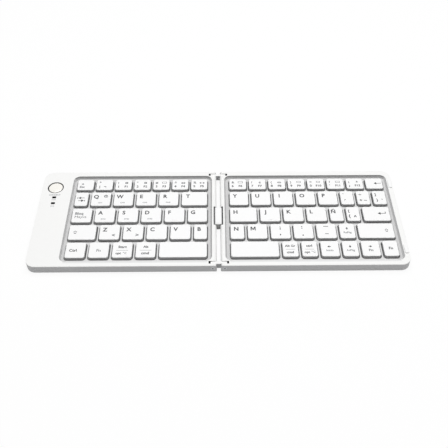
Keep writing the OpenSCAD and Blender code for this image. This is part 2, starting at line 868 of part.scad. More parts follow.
module screws(side) {
    color("#8f9294") on_side(side) at_screws(side) translate([0, 0, z_bottom]) difference() {
        union() {
            cylinder(r = screw_head_r, h = screw_head_t);
            cylinder(r = screw_r, h = screw_l);
        }
        translate([0, 0, -eps]) cylinder(r = screw_r, h = screw_head_t / 2 + eps, $fn = 6);
    }
}

module left_screws() {
    screws(LEFT);
}

module right_screws() {
    screws(RIGHT);
}

left_bottom_cover();
left_top_cover();
left_key_plate();
left_membrane();
left_domes();
left_scissor_clips();
main_board();
battery();
charging_socket();
power_switch();
indicator_windows();
left_feet();
left_screws();
left_hinge_pins();
power_button();
hinge_link_front();
hinge_link_back();
cable_boot();
flat_cable();
right_bottom_cover();
right_top_cover();
right_key_plate();
right_membrane();
right_domes();
right_scissor_clips();
right_feet();
right_screws();
right_hinge_pins();
bumper_pads();
keys(LEFT, 0, 0, 0);  // escape_key
keys(LEFT, 0, 1, 6);  // left_digit_keys
keys(LEFT, 1, 0, 0);  // tab_key
keys(LEFT, 1, 1, 5);  // left_upper_letters
keys(LEFT, 2, 0, 0);  // caps_lock_key
left_middle_letters();
keys(LEFT, 3, 0, 0);  // left_shift_key
keys(LEFT, 3, 1, 5);  // left_lower_letters
keys(LEFT, 4, 0, 0);  // left_control_key
keys(LEFT, 4, 1, 1);  // left_function_key
keys(LEFT, 4, 2, 2);  // left_option_key
keys(LEFT, 4, 3, 3);  // left_alt_key
keys(LEFT, 4, 4, 4);  // left_space_key
keys(RIGHT, 0, 0, 6);  // right_digit_keys
keys(RIGHT, 0, 7, 7);  // backspace_key
keys(RIGHT, 1, 0, 4);  // right_upper_letters
keys(RIGHT, 1, 5, 7);  // right_upper_symbols
right_middle_letters();
keys(RIGHT, 2, 5, 5);  // right_middle_symbols
keys(RIGHT, 2, 6, 6);  // enter_key
keys(RIGHT, 3, 0, 1);  // right_lower_letters
keys(RIGHT, 3, 2, 4);  // right_lower_symbols
keys(RIGHT, 3, 5, 5);  // arrow_up_key
keys(RIGHT, 3, 6, 6);  // right_shift_key
keys(RIGHT, 4, 0, 0);  // right_space_key
keys(RIGHT, 4, 1, 1);  // right_alt_key
keys(RIGHT, 4, 2, 2);  // right_option_key
keys(RIGHT, 4, 3, 3);  // arrow_left_key
keys(RIGHT, 4, 4, 4);  // arrow_down_key
keys(RIGHT, 4, 5, 5);  // arrow_right_key
keys(RIGHT, 4, 6, 6);  // right_function_key
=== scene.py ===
from math import cos, pi, radians, sin

import bmesh
import bpy
from mathutils import Matrix, Vector


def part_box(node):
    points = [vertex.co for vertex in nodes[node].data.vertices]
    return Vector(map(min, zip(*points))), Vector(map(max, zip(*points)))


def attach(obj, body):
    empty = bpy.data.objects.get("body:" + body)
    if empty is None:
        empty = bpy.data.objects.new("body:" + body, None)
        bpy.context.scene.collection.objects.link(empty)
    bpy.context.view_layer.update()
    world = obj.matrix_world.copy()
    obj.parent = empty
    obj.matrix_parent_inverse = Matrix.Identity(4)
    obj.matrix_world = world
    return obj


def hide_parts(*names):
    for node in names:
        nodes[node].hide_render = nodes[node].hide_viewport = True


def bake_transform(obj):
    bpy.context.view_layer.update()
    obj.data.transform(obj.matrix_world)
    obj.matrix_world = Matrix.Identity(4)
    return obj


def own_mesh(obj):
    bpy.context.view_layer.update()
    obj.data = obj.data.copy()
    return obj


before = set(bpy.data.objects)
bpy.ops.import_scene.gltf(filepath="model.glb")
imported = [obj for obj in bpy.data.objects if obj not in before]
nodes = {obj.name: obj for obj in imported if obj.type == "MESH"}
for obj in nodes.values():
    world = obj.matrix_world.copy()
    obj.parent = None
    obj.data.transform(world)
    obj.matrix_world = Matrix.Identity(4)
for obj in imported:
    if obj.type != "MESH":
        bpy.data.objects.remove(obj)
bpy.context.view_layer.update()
scene = bpy.context.scene


# ---------------------------------------------------------------- camera
# A 57 mm view from in front, 46 degrees down, aimed at the hinge.
PITCH, YAW, ROLL = 0.80578, 0.018014, -0.00707
STAND = (-0.002198, -0.337957, 0.350178)
LENS = 56.79
SENSOR_WIDTH = 36

forward = Vector((sin(YAW) * cos(PITCH), cos(YAW) * cos(PITCH), -sin(PITCH)))
right = Vector((cos(YAW), -sin(YAW), 0))
down = forward.cross(right)
rolled_right = cos(ROLL) * right + sin(ROLL) * down
rolled_down = -sin(ROLL) * right + cos(ROLL) * down

camera = bpy.data.objects.new("camera", bpy.data.cameras.new("camera"))
camera.data.sensor_width = SENSOR_WIDTH
camera.data.lens = LENS
camera.data.clip_start = 0.01
turn = Matrix((rolled_right, -rolled_down, -forward)).transposed().to_4x4()
camera.matrix_world = Matrix.Translation(STAND) @ turn
scene.collection.objects.link(camera)
scene.camera = camera


# ---------------------------------------------------------------- materials
# Small node trees: every surface has its own grain, in real millimetres.
def linear(code):
    """An sRGB hex colour as linear RGBA."""
    values = [int(code[i : i + 2], 16) / 255 for i in (0, 2, 4)]
    return [v / 12.92 if v <= 0.04045 else ((v + 0.055) / 1.055) ** 2.4 for v in values] + [1]


def add(tree, kind, **values):
    """A node of that kind, with its sockets set to values or linked to other sockets."""
    node = tree.nodes.new("ShaderNode" + kind)
    for name, value in values.items():
        socket = name.replace("_", " ")
        if name[0].islower():
            setattr(node, name, value)
        elif isinstance(value, bpy.types.NodeSocket):
            tree.links.new(value, node.inputs[socket])
        else:
            node.inputs[socket].default_value = value
    return node


CLOUD_SIZE = 40  # grains across one cloud of the mottling
BUMP_SHARE = 4  # grain size over the height of its relief
CONTRAST = 0.5  # of the mottling between the two colours


def surface(name, light, dark, grain, bump, rough, metal=0.0, edge=0.0, coat=0.0, gloss=0.5):
    """A material mottled between two colours, with a grain and a softened edge in millimetres."""
    material = bpy.data.materials.new(name)
    material.use_nodes = True
    tree = material.node_tree
    tree.nodes.clear()
    place = add(tree, "TexCoord").outputs["Object"]
    clouds = add(tree, "TexNoise", Vector=place, Scale=1000 / (grain * CLOUD_SIZE), Detail=3.0)
    grains = add(tree, "TexNoise", Vector=place, Scale=1000 / grain, Detail=2.0)
    blend = add(tree, "Math", operation="MULTIPLY_ADD")
    tree.links.new(clouds.outputs["Fac"], blend.inputs[0])
    blend.inputs[1].default_value = CONTRAST
    blend.inputs[2].default_value = (1 - CONTRAST) / 2
    colour = add(tree, "Mix", data_type="RGBA")
    tree.links.new(blend.outputs[0], colour.inputs[0])
    colour.inputs[6].default_value = linear(dark)
    colour.inputs[7].default_value = linear(light)
    shader = add(tree, "BsdfPrincipled", Metallic=metal, Roughness=rough, Coat_Weight=coat)
    shader.inputs["Specular IOR Level"].default_value = gloss
    tree.links.new(colour.outputs[2], shader.inputs["Base Color"])
    height = grain / (1000 * BUMP_SHARE)
    relief = add(tree, "Bump", Strength=bump, Distance=height, Height=grains.outputs["Fac"])
    if edge:
        soft = add(tree, "Bevel", Radius=edge / 1000)
        tree.links.new(soft.outputs[0], relief.inputs["Normal"])
    tree.links.new(relief.outputs[0], shader.inputs["Normal"])
    tree.links.new(shader.outputs[0], add(tree, "OutputMaterial").inputs["Surface"])
    return material


# Injection-moulded ABS with a fine spark-eroded texture.
white_abs = surface("white_abs", "f8f8f7", "f4f4f3", 0.12, 0.12, 0.5, edge=0.15)
# The same moulding under a satin silver spray.
silver_paint = surface("silver_spray_paint", "bcbcbd", "b4b4b5", 0.06, 0.15, 0.45, metal=0.3, edge=0.15)
# Keycap tops, satin and slightly whiter than the covers.
keycap_white = surface("white_keycap_top", "fafafa", "f8f8f8", 0.10, 0.08, 0.48)
# The keycaps' skirts are coloured grey as painted shade on their sides.
keycap_skirt_shade = surface("grey_keycap_skirt", "afafb0", "a7a7a8", 0.10, 0.10, 0.6)
# Pad-printed legends in four inks.
ink_grey = surface("grey_pad_print", "3c3d40", "37383b", 0.05, 0.05, 0.6)
ink_pale = surface("pale_pad_print", "717376", "696b6e", 0.05, 0.05, 0.6)
ink_faint = surface("faint_pad_print", "9a9c9e", "939597", 0.05, 0.05, 0.6)
ink_black = surface("black_pad_print", "202123", "1b1c1e", 0.05, 0.05, 0.6)
# A polished ivory button.
ivory_gloss = surface("polished_ivory_plastic", "fcfaf4", "f9f6ef", 0.3, 0.03, 0.22, coat=0.3)
# Smoked light guides over the indicators.
smoked_guide = surface("smoked_light_guide", "040405", "060607", 0.2, 0.02, 0.6, gloss=0.1)
# Nickel-plated steel pins and screws.
nickel = surface("nickel_plated_steel", "a6a8aa", "8d8f92", 0.05, 0.10, 0.35, metal=1.0, edge=0.08)
# The hinge pins are turned, with a satin head.
pin_steel = surface("turned_steel_pin", "d6d8da", "cccecf", 0.05, 0.10, 0.5, metal=0.3, edge=0.08)
# The soft cable boot is cast in silicone.
silicone = surface("white_silicone", "fdfdfd", "fafafa", 0.15, 0.15, 0.62)
# Black cover film of the flat cable.
polyimide = surface("polyimide_film", "303134", "28292c", 0.4, 0.05, 0.45)
# Rubber feet and the paler bumper pads.
foot_rubber = surface("moulded_foot_rubber", "5b5d60", "4e5053", 0.10, 0.35, 0.8, edge=0.15)
pad_rubber = surface("pale_pad_rubber", "fafafa", "f7f7f7", 0.10, 0.20, 0.6, edge=0.25)
# What is sealed inside the halves.
stamped_steel = surface("stamped_steel_sheet", "9a9da1", "85888d", 0.08, 0.10, 0.4, metal=0.9)
polyester = surface("printed_polyester_film", "cdd8d4", "b9c6c1", 0.4, 0.05, 0.4)
dome_silicone = surface("dome_silicone", "e2e6e6", "d6dbdb", 0.2, 0.10, 0.5)
acetal = surface("natural_acetal", "ecece8", "e2e2dd", 0.12, 0.10, 0.5)
solder_mask = surface("green_solder_mask", "2f6f4b", "245a3c", 0.3, 0.10, 0.35)
pouch_foil = surface("pouch_cell_foil", "c9cdd0", "b7bcc0", 0.3, 0.20, 0.35, metal=0.8, edge=0.4)
drawn_steel = surface("drawn_stainless_steel", "bcbfc2", "a9acb0", 0.06, 0.10, 0.3, metal=1.0)
switch_black = surface("black_switch_plastic", "36383c", "2c2e31", 0.10, 0.20, 0.5)


def tint_below(material, level, code, areas, facing=None):
    """Tints what lies below a level in areas (x0, x1, y0, y1), in millimetres; facing keeps one axis."""
    tree = material.node_tree
    place = add(tree, "TexCoord")
    axes = add(tree, "SeparateXYZ", Vector=place.outputs["Object"])

    def within(axis, start, end):
        """One where the place on that axis lies between start and end."""
        test = add(tree, "Math", operation="COMPARE")
        tree.links.new(axes.outputs[axis], test.inputs[0])
        test.inputs[1].default_value = (start + end) / 2000
        test.inputs[2].default_value = (end - start) / 2000
        return test.outputs[0]

    def math(operation, first, second):
        """One step of arithmetic on two sockets or numbers."""
        step = add(tree, "Math", operation=operation)
        for socket, value in zip(step.inputs, (first, second)):
            if isinstance(value, float):
                socket.default_value = value
            else:
                tree.links.new(value, socket)
        return step.outputs[0]

    mask = math("ADD", 0.0, 0.0)
    for x0, x1, y0, y1 in areas:
        mask = math("MAXIMUM", mask, math("MULTIPLY", within("X", x0, x1), within("Y", y0, y1)))
    mask = math("MULTIPLY", mask, math("LESS_THAN", axes.outputs["Z"], level))
    if facing:
        normal = add(tree, "SeparateXYZ", Vector=place.outputs["Normal"])
        tilt = math("ABSOLUTE", normal.outputs[facing], 0.0)
        mask = math("MULTIPLY", mask, math("GREATER_THAN", tilt, 0.5))
    shader = next(n for n in tree.nodes if n.type == "BSDF_PRINCIPLED")
    old = shader.inputs["Base Color"].links[0].from_socket
    mix = add(tree, "Mix", data_type="RGBA")
    tree.links.new(mask, mix.inputs[0])
    tree.links.new(old, mix.inputs[6])
    mix.inputs[7].default_value = linear(code)
    tree.links.new(mix.outputs[2], shader.inputs["Base Color"])


def around(node, grow_x, grow_y):
    """The area of a node's box, grown on each side by so many millimetres."""
    low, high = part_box(node)
    x0, x1, y0, y1 = (1000 * value for value in (low.x, high.x, low.y, high.y))
    return (x0 - grow_x, x1 + grow_x, y0 - grow_y, y1 + grow_y)


# The key wells are sprayed light grey. Painted shade darkens them along their sides, under the back rim and
# on their walls, most at the top of the front and back walls, and a strip of painted shade lies on the edge
# of the front rim.
rim_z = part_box("left_top_cover")[1].z
PAINT = 0.0001  # sets a painted level off from the rim
WELLS = [(-103.17, -4.33), (4.33, 120.87)]
WELL_REACH = 40.62
SIDE_SHADE_BAND = 4.4
in_wells = [(x0, x1, -WELL_REACH, WELL_REACH) for x0, x1 in WELLS]
side_shade_areas = [(x, x + SIDE_SHADE_BAND, -WELL_REACH, WELL_REACH) for x0, x1 in WELLS for x in (x0, x1 - SIDE_SHADE_BAND)]
back_rim_shade_areas = [(x0, x1, WELL_REACH - 3.6, WELL_REACH) for x0, x1 in WELLS]
front_edge_shade_areas = [(x0 + 3, x1 - 3, -WELL_REACH - 1.1, -WELL_REACH) for x0, x1 in WELLS]
tint_below(white_abs, rim_z - PAINT, "dadada", in_wells)
# Painted shade: along the sides, under the back rim, on the walls and on the front rim's edge.
tint_below(white_abs, rim_z - PAINT, "c6c6c6", side_shade_areas)
tint_below(white_abs, rim_z - PAINT, "cccccc", back_rim_shade_areas)
tint_below(white_abs, rim_z - PAINT, "d2d2d2", in_wells, facing="X")
tint_below(white_abs, rim_z - PAINT, "9c9c9c", in_wells, facing="Y")
tint_below(white_abs, rim_z - 9 * PAINT, "bcbcbc", in_wells, facing="Y")
tint_below(white_abs, rim_z + PAINT, "e6e6e6", front_edge_shade_areas)

# The gaps round the boot, at the links' ends, between the links and round the button lie in shade.
END_SHADE = 1.5  # how far a link's end and its middle are in shade
button_hole = [around("power_button", -0.3, -0.3)]
boot_gap = [around("cable_boot", 0.7, 0.65)]
link_ends, between_links = [], []
for node in ("hinge_link_front", "hinge_link_back"):
    link_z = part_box(node)[1].z
    x0, x1, y0, y1 = around(node, 1.25, 0.25)
    link_ends += [(x0, x0 + END_SHADE, y0, y1), (x1 - END_SHADE, x1, y0, y1)]
    between_links.append((-END_SHADE, END_SHADE, y0, y1))
tint_below(white_abs, rim_z - 2 * PAINT, "5c5c5d", boot_gap + link_ends)
tint_below(white_abs, rim_z - 2 * PAINT, "68686a", button_hole)
tint_below(white_abs, link_z - 2 * PAINT, "b4b5b6", between_links)
tint_below(ivory_gloss, rim_z - 3 * PAINT, "58585a", button_hole)

# The painted shade on the keys' skirts is lighter at the foot, but for the front of the front row.
ALL_BUT_FRONT = [(-130.0, 130.0, -37.0, 45.0)]
tint_below(keycap_skirt_shade, rim_z - 16 * PAINT, "d4d4d4", ALL_BUT_FRONT)

# Each pin's head has a dark spot of painted shade at its middle for a dimple, with an even pale grey under
# it.
DIMPLE_SHADE = 0.5  # half its width, in millimetres
pin_heads = []
for node in ("left_hinge_pins", "right_hinge_pins"):
    low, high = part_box(node)
    pin_x, pin_z = (low.x + high.x) * 500, (low.z + high.z) / 2
    pin_heads.append((pin_x - DIMPLE_SHADE, pin_x + DIMPLE_SHADE, -45.0, 45.0))
tint_below(pin_steel, pin_z + DIMPLE_SHADE / 1000, "5a5b5d", pin_heads, facing="Y")
tint_below(pin_steel, pin_z - DIMPLE_SHADE / 1000, "d2d4d6", pin_heads, facing="Y")

# The boot is shaded at its ends and along its sides.
SIDE_SHADE, EDGE_SHADE = 0.9, 0.4
x0, x1, y0, y1 = around("cable_boot", 0.1, 0.9)
boot_sides = [(x0, x0 + SIDE_SHADE, y0, y1), (x1 - SIDE_SHADE, x1, y0, y1)]
boot_edges = [(x0, x0 + EDGE_SHADE, y0, y1), (x1 - EDGE_SHADE, x1, y0, y1)]
tint_below(silicone, rim_z - 3 * PAINT, "b0b0b0", [(x0, x1, y0, y1)], facing="Y")
tint_below(silicone, rim_z + 10 * PAINT, "dcdcdc", boot_sides)
tint_below(silicone, rim_z + 10 * PAINT, "7c7c7d", boot_edges)


def finish(node, material):
    """Gives a CAD node its material."""
    nodes[node].data.materials.clear()
    nodes[node].data.materials.append(material)


# ---------------------------------------------------------------- covers, hinge and inner parts
# These shapes come straight from the model; the covers get moulded and painted surfaces.
for side in ("left_", "right_"):
    finish(side + "top_cover", white_abs)
    finish(side + "bottom_cover", silver_paint)
    finish(side + "key_plate", stamped_steel)
    finish(side + "membrane", polyester)
    finish(side + "domes", dome_silicone)
    finish(side + "scissor_clips", acetal)
    finish(side + "feet", foot_rubber)
    finish(side + "screws", nickel)
    finish(side + "hinge_pins", pin_steel)
for node in ("hinge_link_front", "hinge_link_back"):
    finish(node, white_abs)
finish("bumper_pads", pad_rubber)
finish("main_board", solder_mask)
finish("battery", pouch_foil)
finish("charging_socket", drawn_steel)
finish("power_switch", switch_black)
finish("indicator_windows", smoked_guide)


# ---------------------------------------------------------------- keycaps
# One hollow moulding for each key: leaning skirt, grey with painted shade, white top with a soft edge.
LEAN, WALL, TOP_WALL = 0.0005, 0.0007, 0.0009
FILLET, CORNER = 0.0003, 0.002
INNER_CORNER, FOOT_CORNER = 0.0006, 0.0008
PLATEAU = 0.0002  # how far the flat of the top stands in from its soft edge
FLAT_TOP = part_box("escape_key")[1].z
SKIRT_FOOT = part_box("escape_key")[0].z


def key_boxes(node):
    """The base rectangles (x0, y0, x1, y1) of the keys in a node, from left to right."""
    mesh = bmesh.new()
    mesh.from_mesh(nodes[node].data)
    bmesh.ops.remove_doubles(mesh, verts=mesh.verts, dist=1e-6)
    todo = set(mesh.verts)
    boxes = []
    while todo:
        island, waiting = set(), [todo.pop()]
        while waiting:
            vertex = waiting.pop()
            island.add(vertex)
            for edge in vertex.link_edges:
                other = edge.other_vert(vertex)
                if other in todo:
                    todo.discard(other)
                    waiting.append(other)
        xs = [v.co.x for v in island]
        ys = [v.co.y for v in island]
        boxes.append((min(xs), min(ys), max(xs), max(ys)))
    mesh.free()
    return sorted(boxes)


def ring(mesh, box, inset, z, corner, steps=6):
    """A loop of vertices round a box with round corners, inset from its sides."""
    x0, y0, x1, y1 = box[0] + inset, box[1] + inset, box[2] - inset, box[3] - inset
    loop = []
    left, right, front, back = x0 + corner, x1 - corner, y0 + corner, y1 - corner
    for quarter, (cx, cy) in enumerate([(right, back), (left, back), (left, front), (right, front)]):
        for step in range(steps + 1):
            angle = (quarter + step / steps) * pi / 2
            loop.append(mesh.verts.new((cx + corner * cos(angle), cy + corner * sin(angle), z)))
    return loop


def skin(mesh, loops, slot=0):
    """Faces between loops of equal length."""
    for low, high in zip(loops, loops[1:]):
        count = len(low)
        for i in range(count):
            face = mesh.faces.new((low[i], low[(i + 1) % count], high[(i + 1) % count], high[i]))
            face.material_index = slot
            face.smooth = True


def keycap(mesh, box):
    """Adds one keycap, from the ceiling under its top round to the middle of its top."""
    ceiling = FLAT_TOP - TOP_WALL
    inner = ring(mesh, box, LEAN + WALL, ceiling, INNER_CORNER)
    inner_foot = ring(mesh, box, WALL, SKIRT_FOOT, FOOT_CORNER)
    foot = ring(mesh, box, 0, SKIRT_FOOT, CORNER)
    shoulder = ring(mesh, box, LEAN * 0.95, FLAT_TOP - FILLET * 1.15, CORNER - LEAN * 0.95)
    edge = []
    for step in range(1, 5):
        angle = step * pi / 8
        inset = LEAN + FILLET * (1 - cos(angle))
        edge.append(ring(mesh, box, inset, FLAT_TOP - FILLET * (1 - sin(angle)), CORNER - inset))
    inset = LEAN + FILLET + PLATEAU
    plateau = ring(mesh, box, inset, FLAT_TOP, CORNER - inset)
    skin(mesh, [inner, inner_foot, foot, shoulder], slot=1)
    skin(mesh, [shoulder] + edge + [plateau])
    mesh.faces.new(plateau).smooth = True
    under = mesh.faces.new(list(reversed(inner)))
    under.material_index = 1


def mesh_piece(name, mesh, *materials):
    """A Blender object from a bmesh."""
    data = bpy.data.meshes.new(name)
    mesh.to_mesh(data)
    mesh.free()
    piece = bpy.data.objects.new(name, data)
    scene.collection.objects.link(piece)
    for material in materials:
        data.materials.append(material)
    return piece


key_nodes = [
    name for name in nodes
    if name.endswith(("_key", "_keys", "letters", "symbols"))
]
boxes = {name: key_boxes(name) for name in key_nodes}
HOMING = {"left_middle_letters": 3, "right_middle_letters": 1}  # which key of the node has a homing bar
HOMING_REACH, HOMING_FRONT, HOMING_BACK = 0.0016, 0.0019, 0.0024
HOMING_CORNER, HOMING_ROUND = 0.0002, 0.0001
for name in key_nodes:
    mesh = bmesh.new()
    for box in boxes[name]:
        keycap(mesh, box)
    if name in HOMING:
        x0, y0, x1, y1 = boxes[name][HOMING[name]]
        left, right = (x0 + x1) / 2 - HOMING_REACH, (x0 + x1) / 2 + HOMING_REACH
        bar = (left, y0 + HOMING_FRONT, right, y0 + HOMING_BACK)
        rise = [
            ring(mesh, bar, 0, FLAT_TOP - HOMING_ROUND / 2, HOMING_CORNER),
            ring(mesh, bar, 0, FLAT_TOP + HOMING_ROUND, HOMING_CORNER),
            ring(mesh, bar, HOMING_ROUND, FLAT_TOP + 2 * HOMING_ROUND, HOMING_CORNER - HOMING_ROUND),
        ]
        skin(mesh, rise)
        mesh.faces.new(rise[-1])
    piece = mesh_piece(name + "_caps", mesh, keycap_white, keycap_skirt_shade)
    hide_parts(name)
    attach(piece, name)


# ---------------------------------------------------------------- domes and scissor clips
# Each key's dome and clips lie under it, and are cut apart by the groups of keys above them.
SHARP = radians(30)


def under_keys(source, material):
    """Divides a CAD node among the groups of keys above it; each part goes on its half."""
    data = nodes[source].data
    half = source.split("_")[0]
    above = [name for name in key_nodes if (boxes[name][0][0] < 0) == (half == "left")]
    faces_of = {name: [] for name in above}
    for face in data.polygons:
        x, y = face.center.x, face.center.y
        for name in above:
            if any(x0 < x < x1 and y0 < y < y1 for x0, y0, x1, y1 in boxes[name]):
                faces_of[name].append(list(face.vertices))
                break
    for name, faces in faces_of.items():
        used = sorted({vertex for face in faces for vertex in face})
        place = {vertex: i for i, vertex in enumerate(used)}
        part = bpy.data.meshes.new(name + source[len(half):])
        corners = [[place[vertex] for vertex in face] for face in faces]
        part.from_pydata([data.vertices[vertex].co for vertex in used], [], corners)
        part.materials.append(material)
        part.shade_smooth()
        part.set_sharp_from_angle(angle=SHARP)
        piece = bpy.data.objects.new(part.name, part)
        scene.collection.objects.link(piece)
        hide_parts(source)
        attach(piece, half + "_half")
        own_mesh(piece)


for half in ("left_", "right_"):
    under_keys(half + "domes", dome_silicone)
    under_keys(half + "scissor_clips", acetal)


# ---------------------------------------------------------------- legends
# Printed letters and symbols of a Latin American Spanish layout, in millimetres from the back left
# corner of each key's top. A mark is (text or sign, across, back, size, ink); "c" centres it there.
LETTER_SIZE = 3.4
LETTER_WIDTH = 0.93
LETTER_SHIFT = 0.0001
PRINT_LIFT = 0.00001
CAP_SHARE = 0.73  # height of a capital over the font's size
BOLDNESS = 0.045


def marks(top, *more, at=2.0):
    """A main letter with smaller marks beside it."""
    return [(top, at, 4.3, LETTER_SIZE, ink_grey)] + list(more)


def digit(shifted, plain, icon, number, size=2.3):
    """A digit key: two marks on the left, a function number under its sign on the right."""
    return [
        (shifted, 1.6, 3.3, 2.1, ink_pale),
        (plain, 1.6, 7.1, 2.1, ink_grey),
        (icon, (7.8, "c"), 3.3, size, ink_pale),
        (number, (7.8, "c"), 7.1, 2.0, ink_grey),
    ]


def stacked(top, bottom, width, sizes):
    """Two words above and below a rule, the lower one followed by a sign where it names the option key."""
    middle = width / 2
    words = [
        (top, (middle, "c"), 4.1, sizes[0], ink_grey),
        ("rule", (middle, "c"), 7.2, width * 0.6, ink_pale),
    ]
    if bottom == "opt":
        place = width * 0.3
        return words + [
            ("opt", (place + 0.2, "c"), 9.6, sizes[1], ink_grey),
            ("option", (place + 4.3, "c"), 9.6, 2.5, ink_grey),
        ]
    return words + [(bottom, (middle - 0.2, "c"), 9.6, sizes[1], ink_grey)]


LEGENDS = {
    "escape_key": [[("Esc", 1.6, 7.2, 2.0, ink_pale), ("bar_up", (3.6, "c"), 4.3, 1.9, ink_pale)]],
    "left_digit_keys": [
        [("°", 1.8, 3.3, 2.6, ink_grey), ("|", 2.0, 7.1, 2.2, ink_black), ("¬", 5.2, 7.1, 2.3, ink_grey)],
        digit("!", "1", "¤", "F1", 2.8),
        digit('"', "2", "¤", "F2", 2.8),
        digit("#", "3", "screen", "F3", 2.9),
        digit("$", "4", "«»", "F4"),
        digit("%", "5", "« »", "F5", 2.1),
    ],
    "tab_key": [[
        ("tab_back", (4.3, "c"), 5.6, 5.4, ink_black),
        ("tab_on", (4.3, "c"), 8.3, 5.0, ink_black),
    ]],
    "left_upper_letters": [
        marks("Q", ("@", 8.4, 3.7, 2.1, ink_pale), ("CH1", (6.5, "c"), 10.4, 1.2, ink_faint), at=1.4),
        marks("W", ("CH2", (6.2, "c"), 10.4, 1.2, ink_faint), at=1.65),
        marks("E", ("CH3", (6.0, "c"), 10.4, 1.2, ink_faint)),
        marks("R", ("PAIR", (6.4, "c"), 10.4, 1.2, ink_faint), at=2.6),
        marks("T", at=2.85),
    ],
    "caps_lock_key": [[("Bloq", 1.8, 4.9, 2.3, ink_pale), ("Mayús", 1.8, 8.1, 2.4, ink_grey)]],
    "left_middle_letters": [
        marks("A", ("SYS1", (6.0, "c"), 10.4, 1.2, ink_faint)),
        marks("S", ("SYS2", (5.9, "c"), 10.4, 1.2, ink_faint), at=2.55),
        marks("D", ("SYS3", (5.9, "c"), 10.4, 1.2, ink_faint)),
        marks("F"),
        marks("G", at=1.75),
    ],
    "left_shift_key": [[("shift", (4.2, "c"), 6.6, 2.8, ink_grey)]],
    "left_lower_letters": [
        marks("Z", ("<", 8.3, 9.4, 2.9, ink_pale)),
        marks("X", (">", 8.3, 9.4, 2.9, ink_pale)),
        marks("C"),
        marks("V"),
        marks("B"),
    ],
    "left_control_key": [[("Ctrl", 2.4, 6.9, 2.25, ink_grey)]],
    "left_function_key": [[("Fn", (6.3, "c"), 7.0, 2.3, ink_faint)]],
    "left_option_key": [stacked("Start", "opt", 12.8, (2.05, 1.85))],
    "left_alt_key": [stacked("Alt", "cmd", 12.8, (1.9, 2.2))],
    "left_space_key": [[]],
    "right_digit_keys": [
        digit("&", "6", "screen", "F6", 3.1),
        digit("/", "7", "«", "F7"),
        digit("(", "8", "«»", "F8", 2.1),
        digit(")", "9", "screen", "F9", 2.7),
        digit("=", "0", "screen", "F10", 2.4),
        digit("?", "'", "screen", "F11", 2.9),
        digit("¡", "¿", "bar_up", "F12", 1.9),
    ],
    "backspace_key": [[("arrow_left", (8.4, "c"), 5.1, 5.4, ink_black)]],
    "right_upper_letters": [marks(c, at=at) for c, at in zip("YUIOP", (2.25, 2.45, 3.2, 2.35, 2.4))],
    "right_upper_symbols": [
        [("¨", 1.6, 3.6, 2.6, ink_pale), ("´", 1.9, 9.9, 3.4, ink_black)],
        [("*", 1.7, 4.7, 3.2, ink_black), ("+", 1.5, 9.2, 2.6, ink_black), ("~", 4.6, 9.2, 2.6, ink_grey)],
        [("]", 1.5, 3.6, 2.3, ink_grey), ("}", 2.0, 9.1, 2.4, ink_grey), ("`", 5.5, 9.3, 2.8, ink_black)],
    ],
    "right_middle_letters": [marks(c, at=at) for c, at in zip("HJKLÑ", (2.0, 3.2, 2.0, 2.0, 0.7))],
    "right_middle_symbols": [[
        ("[", 1.3, 3.9, 2.2, ink_grey),
        ("{", 1.2, 8.8, 2.6, ink_black),
        ("^", 4.7, 9.5, 3.0, ink_grey),
    ]],
    "enter_key": [[("enter", (12.8, "c"), 6.5, 5.6, ink_black)]],
    "right_lower_letters": [marks("N"), [("M", (3.6, "c"), 4.3, 3.4, ink_grey)]],
    "right_lower_symbols": [
        [(";", (6.4, "c"), 3.2, 3.2, ink_black), (",", (6.3, "c"), 8.3, 3.3, ink_black)],
        [(":", (5.6, "c"), 2.8, 3.2, ink_black), (".", (5.9, "c"), 8.8, 4.0, ink_black)],
        [("dash", (6.4, "c"), 2.6, 3.4, ink_grey), ("dash", (6.5, "c"), 9.4, 2.4, ink_grey)],
    ],
    "arrow_up_key": [[
        ("tip_up", (5.0, "c"), 4.6, 2.4, ink_grey),
        ("RePág", (5.0, "c"), 8.2, 1.6, ink_faint),
    ]],
    "right_shift_key": [[("shift", (18.9, "c"), 6.4, 2.8, ink_black)]],
    "right_space_key": [[]],
    "right_alt_key": [stacked("Alt Gr", "cmd", 10, (1.85, 2.0))],
    "right_option_key": [stacked("ctrl", "opt", 10, (2.1, 1.85))],
    "arrow_left_key": [[
        ("tip_left", (5.4, "c"), 5.0, 2.4, ink_black),
        ("Inicio", (5.6, "c"), 8.2, 1.6, ink_faint),
    ]],
    "arrow_down_key": [[
        ("tip_down", (5.0, "c"), 5.0, 2.4, ink_black),
        ("AvPág", (5.0, "c"), 8.2, 1.6, ink_faint),
    ]],
    "arrow_right_key": [[
        ("tip_right", (5.8, "c"), 5.0, 2.4, ink_black),
        ("Fin", (5.8, "c"), 8.2, 1.9, ink_pale),
    ]],
    "right_function_key": [[("Fn", (4.8, "c"), 6.6, 2.2, ink_grey)]],
}

# Faint words under the button and the indicators, in boxes that start at the windows' middle.
guide_low, guide_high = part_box("indicator_windows")
guide_x = (guide_low.x + guide_high.x) / 2 - LEAN
boxes["left_half"] = [(guide_x, 0, guide_x, guide_high.y + LEAN)]
LEGENDS["left_half"] = [[
    ("CONNECT", (0.0, "c"), -1.1, 1.2, ink_faint),
    ("CAPS", (0.0, "c"), 3.8, 0.9, ink_faint),
    ("PWR", (0.0, "c"), 10.1, 0.9, ink_faint),
]]


# ---------------------------------------------------------------- drawn signs
# Arrows, rules and boxes as flat polygons, in millimetres round the middle of the sign.
HEAD_SLOPE = 0.62


def oblong(x0, y0, x1, y1):
    """A rectangle from two of its corners."""
    return [(x0, y0), (x1, y0), (x1, y1), (x0, y1)]


def line_across(size, width):
    """A level line."""
    return [oblong(-size / 2, -width / 2, size / 2, width / 2)]


def bar(x, height, width):
    """An upright line at x."""
    return [oblong(x - width / 2, -height / 2, x + width / 2, height / 2)]


